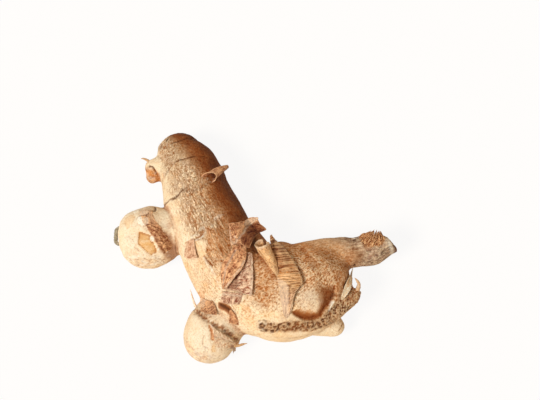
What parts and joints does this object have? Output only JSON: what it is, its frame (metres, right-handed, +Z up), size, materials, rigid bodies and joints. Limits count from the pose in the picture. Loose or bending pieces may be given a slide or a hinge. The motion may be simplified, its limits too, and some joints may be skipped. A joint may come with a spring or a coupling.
{
  "type": "blue turmeric rhizome",
  "caption": "Whole branching turmeric rhizome lying down, with knobbly fingers, ringed tan skin, a root scar, curled papery scale leaves and dry rootlets.",
  "frame": {"origin": "on the surface it lies on, under the middle of the rhizome's bounding box", "axes": "+Z up from the surface, +X from the left bulb towards the broken right stub, +Y towards the tip of the upper arm"},
  "size_m": [0.1266, 0.1062, 0.0391],
  "materials": {
    "skin": "dry wrinkled tan skin, matte with a faint sheen",
    "red_scale": "dry papery leaf, crinkled, matte",
    "orange_scale": "dry papery leaf, finely ribbed, slight sheen",
    "pink_scale": "thin papery skin, matte",
    "pale_peel": "peeled pale tissue, matte",
    "rootlet": "dry fibrous rootlet, matte"
  },
  "bodies": {
    "root": {"rhizome": "skin", "square_scale": "red_scale", "long_scale": "red_scale", "under_scale": "red_scale", "fold_scale": "pink_scale", "tongue_tab": "orange_scale", "ribbed_sheath": "orange_scale", "curled_scale": "orange_scale", "left_flap": "pink_scale", "neck_flap": "pink_scale", "bulb_collar": "red_scale", "bulb_sheath": "pink_scale", "pale_strip": "pale_peel", "torn_tuft": "orange_scale", "dark_curl": "red_scale", "hair_root": "rootlet", "scar_rootlet": "rootlet", "grey_root": "rootlet", "bulb_rootlet": "rootlet", "stub_rootlet": "rootlet"}
  },
  "joints": []
}
